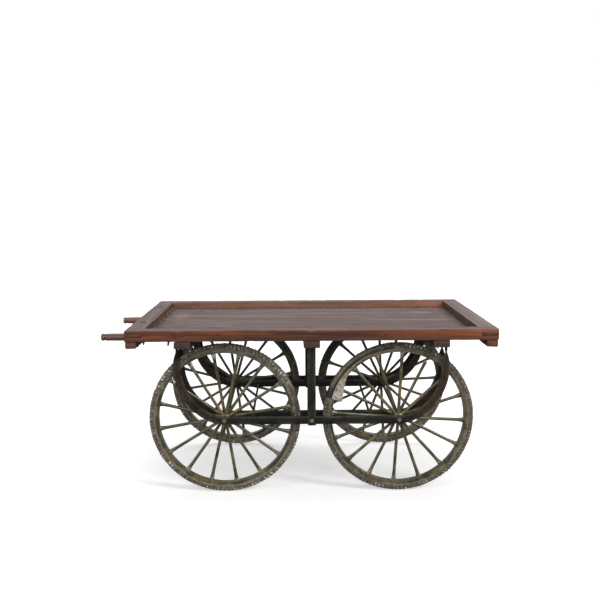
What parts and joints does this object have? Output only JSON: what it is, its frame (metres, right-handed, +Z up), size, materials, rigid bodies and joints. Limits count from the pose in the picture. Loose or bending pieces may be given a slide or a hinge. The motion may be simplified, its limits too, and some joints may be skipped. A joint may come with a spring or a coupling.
{
  "type": "four-wheeled flat hand cart",
  "caption": "Weathered flat hand cart: a framed wooden tray deck with turned push handles, hung by bent steel bars on spoked wheels with solid tyres.",
  "frame": {"origin": "on the floor under the middle of the cart's bounding box, push handles included", "axes": "+X along the deck away from the push handles, +Y across the deck to the far side, +Z up"},
  "size_m": [1.972, 1.14, 0.85],
  "materials": {
    "rail_wood": "worn reddish-brown oiled hardwood, darkened along its lower edge",
    "board_wood": "weathered grey-mauve top, brown sides",
    "bed_wood": "weathered grey-brown planks with dust in the corners",
    "beam_wood": "rough dark brown sawn timber",
    "handle_wood": "turned, polished by hands",
    "bar_steel": "near-black forged flat bar with brown rust",
    "rod_steel": "rusty bolts and rods with worn bright heads",
    "wheel_paint": "worn olive paint with tan rust",
    "tyre_rubber": "cracked dusty rubber"
  },
  "bodies": {
    "root": {"rail_near": "rail_wood", "rail_far": "rail_wood", "end_board_left": "board_wood", "end_board_right": "board_wood", "plank_1": "bed_wood", "plank_2": "bed_wood", "plank_3": "bed_wood", "plank_4": "bed_wood", "plank_5": "bed_wood", "plank_6": "bed_wood", "plank_7": "bed_wood", "plank_8": "bed_wood", "cross_beam_left": "beam_wood", "cross_beam_middle": "beam_wood", "cross_beam_right": "beam_wood", "end_beam_left": "beam_wood", "end_beam_right": "beam_wood", "handle_near": "handle_wood", "handle_far": "handle_wood", "bar_outer_near": "bar_steel", "bar_inner_near": "bar_steel", "bar_outer_far": "bar_steel", "bar_inner_far": "bar_steel", "strut_outer_near": "bar_steel", "strut_inner_near": "bar_steel", "strut_outer_far": "bar_steel", "strut_inner_far": "bar_steel", "tie_rod_left": "rod_steel", "tie_rod_right": "rod_steel", "axle_near_left": "rod_steel", "axle_near_right": "rod_steel", "axle_far_left": "rod_steel", "axle_far_right": "rod_steel"},
    "wheel_near_left": {"hub_near_left": "wheel_paint", "rim_near_left": "wheel_paint", "tyre_near_left": "tyre_rubber"},
    "wheel_near_right": {"hub_near_right": "wheel_paint", "rim_near_right": "wheel_paint", "tyre_near_right": "tyre_rubber"},
    "wheel_far_left": {"hub_far_left": "wheel_paint", "rim_far_left": "wheel_paint", "tyre_far_left": "tyre_rubber"},
    "wheel_far_right": {"hub_far_right": "wheel_paint", "rim_far_right": "wheel_paint", "tyre_far_right": "tyre_rubber"}
  },
  "joints": [
    {"name": "wheel_near_left_spin", "type": "hinge", "parent": "root", "child": "wheel_near_left", "pos_m": [-0.349, -0.413, 0.381], "axis": [0, 1, 0], "continuous": true},
    {"name": "wheel_near_right_spin", "type": "hinge", "parent": "root", "child": "wheel_near_right", "pos_m": [0.521, -0.413, 0.381], "axis": [0, 1, 0], "continuous": true},
    {"name": "wheel_far_left_spin", "type": "hinge", "parent": "root", "child": "wheel_far_left", "pos_m": [-0.349, 0.413, 0.381], "axis": [0, 1, 0], "continuous": true},
    {"name": "wheel_far_right_spin", "type": "hinge", "parent": "root", "child": "wheel_far_right", "pos_m": [0.521, 0.413, 0.381], "axis": [0, 1, 0], "continuous": true}
  ]
}
